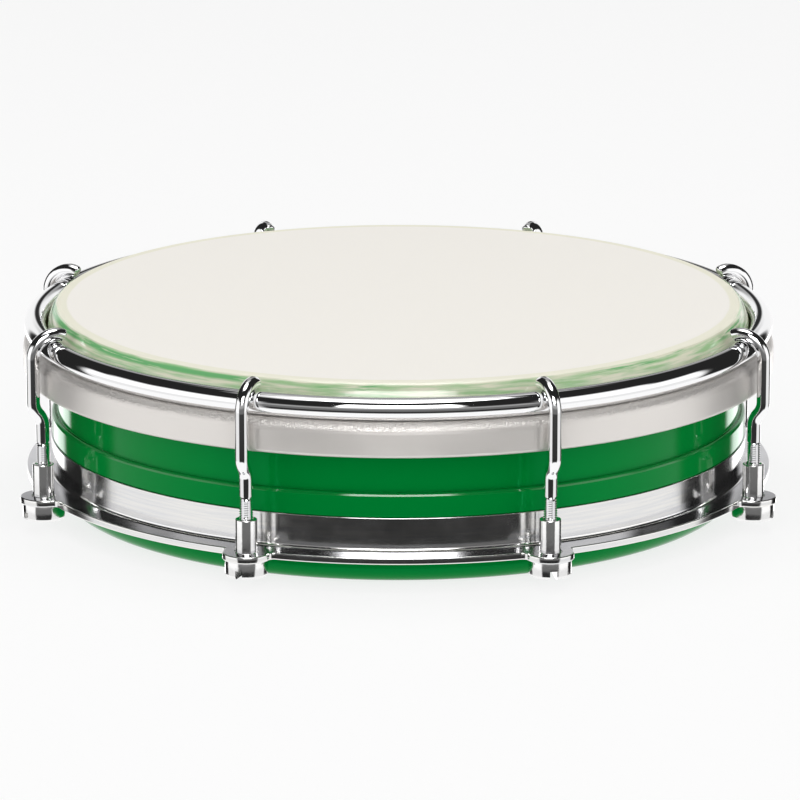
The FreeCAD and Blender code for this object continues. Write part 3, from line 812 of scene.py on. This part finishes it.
def soft_box(name, way, rise, width, height, level):
    """An area lamp a metre away that faces the drum, from so many degrees round and up."""
    way, rise = math.radians(way), math.radians(rise)
    toward = Vector((math.sin(way) * math.cos(rise), -math.cos(way) * math.cos(rise), math.sin(rise)))
    bpy.ops.object.light_add(type="AREA", location=toward)
    lamp = bpy.context.object
    lamp.name = name
    lamp.data.shape = "RECTANGLE"
    lamp.data.size = width
    lamp.data.size_y = height
    lamp.data.energy = level * math.pi * width * height
    lamp.rotation_euler = toward.to_track_quat("Z", "Y").to_euler()
    lamp.visible_glossy = False


soft_box("front_box", 0, 34, 0.7, 0.6, 1.6)
soft_box("top_box", 180, 84, 1.0, 0.9, 1.85)
soft_box("left_box", -80, 8, 1.3, 0.8, 1.2)
soft_box("right_box", 80, 8, 1.3, 0.8, 1.2)

# Each panel: from and to, in degrees round from the camera, from and to in
# degrees up, how soft its edge is, and how bright it is.
PANELS = (
    (-180, 180, -90, -21, 2.5, 1.1),
    (-43, 43, -29, 20, 3, 0.03),
    (-43, 43, -11, 18, 3, 0.17),
    (-43, 43, 7, 18, 5, 0.4),
    (-108, -43, -24, 17, 3, 1.2),
    (-108, -43, -24, -8, 3, 0.94),
    (-98, -44, 10, 24, 4, 1.2),
    (-80, -44, 18, 27, 4, 1.2),
    (46, 104, -24, 20, 3, 1.2),
    (46, 104, -24, -8, 3, 0.94),
    (46, 84, 12, 30, 4, 1.2),
    (-18.5, 19.5, 17.5, 48.5, 1, 1.2),
    (-18, 19, 27, 47, 2, 8),
    (-180, -150, 54, 90, 5, 0.9),
    (150, 180, 54, 90, 5, 0.9),
    (-180, -50, 66, 90, 4, 1.0),
    (-180, -150, -18, 21, 3, 1.0),
    (150, 180, -18, 21, 3, 1.0),
    (-180, -164, 18, 60, 5, 0.4),
    (164, 180, 18, 60, 5, 0.4),
    (-162, -144, -19, -9.5, 1.5, 2.8),
    (144, 162, -19, -9.5, 1.5, 2.8),
    (-180, -174.5, -25, 26, 2, 0.03),
    (174.5, 180, -25, 26, 2, 0.03),
    (-180, 180, 74, 100, 3, 5.5),
)
BLACK_LEVEL = 0.02
DOME_RADIUS = 2.5


def fade(value, start, end):
    """Nought at the start, one at the end, with no corner between."""
    share = min(max((value - start) / (end - start), 0), 1)
    return share * share * (3 - 2 * share)


def shine(way, rise):
    """How bright the dome is in a direction. A later panel covers an earlier one."""
    level = BLACK_LEVEL
    for left, right, bottom, top, soft, light in PANELS:
        share = fade(rise, bottom - soft, bottom + soft) * fade(rise, top + soft, top - soft)
        if left > -180:
            share *= fade(way, left - soft, left + soft)
        if right < 180:
            share *= fade(way, right + soft, right - soft)
        level += (light - level) * share
    return level


bpy.ops.mesh.primitive_uv_sphere_add(segments=180, ring_count=90, radius=DOME_RADIUS)
dome = bpy.context.object
dome.name = "dome"
bpy.ops.object.shade_smooth()
paint = dome.data.color_attributes.new(name="shine", type="FLOAT_COLOR", domain="POINT")
for point in dome.data.vertices:
    way = math.degrees(math.atan2(point.co.x, -point.co.y))
    rise = math.degrees(math.asin(max(min(point.co.z / DOME_RADIUS, 1), -1)))
    level = shine(way, rise)
    paint.data[point.index].color = (level, level, level, 1)
panelled, nodes, shader = new_finish("dome_panels")
painted = settle(nodes.new("ShaderNodeAttribute"), attribute_name="shine")
glow = settle(nodes.new("ShaderNodeEmission"), Color=painted.outputs["Color"], Strength=1)
feed(nodes["Material Output"].inputs["Surface"], glow.outputs["Emission"])
dome.data.materials.append(panelled)
dome.visible_camera = False
dome.visible_diffuse = False
dome.visible_transmission = False
dome.visible_volume_scatter = False
dome.visible_shadow = False

# The camera stands in front, a little above the drum, and far off with a long lens.
camera_rise = math.radians(14.31)
camera_away = 1382.3 * MM
aim = Vector((0.37 * MM, 0, 21.2 * MM))
bpy.ops.object.camera_add(
    location=aim + camera_away * Vector((0, -math.cos(camera_rise), math.sin(camera_rise))),
    rotation=(math.pi / 2 - camera_rise, 0, 0))
camera = bpy.context.object
camera.data.lens = 277.2
camera.data.sensor_width = 36
camera.data.clip_start = 0.05
bpy.context.scene.camera = camera
bpy.context.scene.view_settings.view_transform = "Standard"
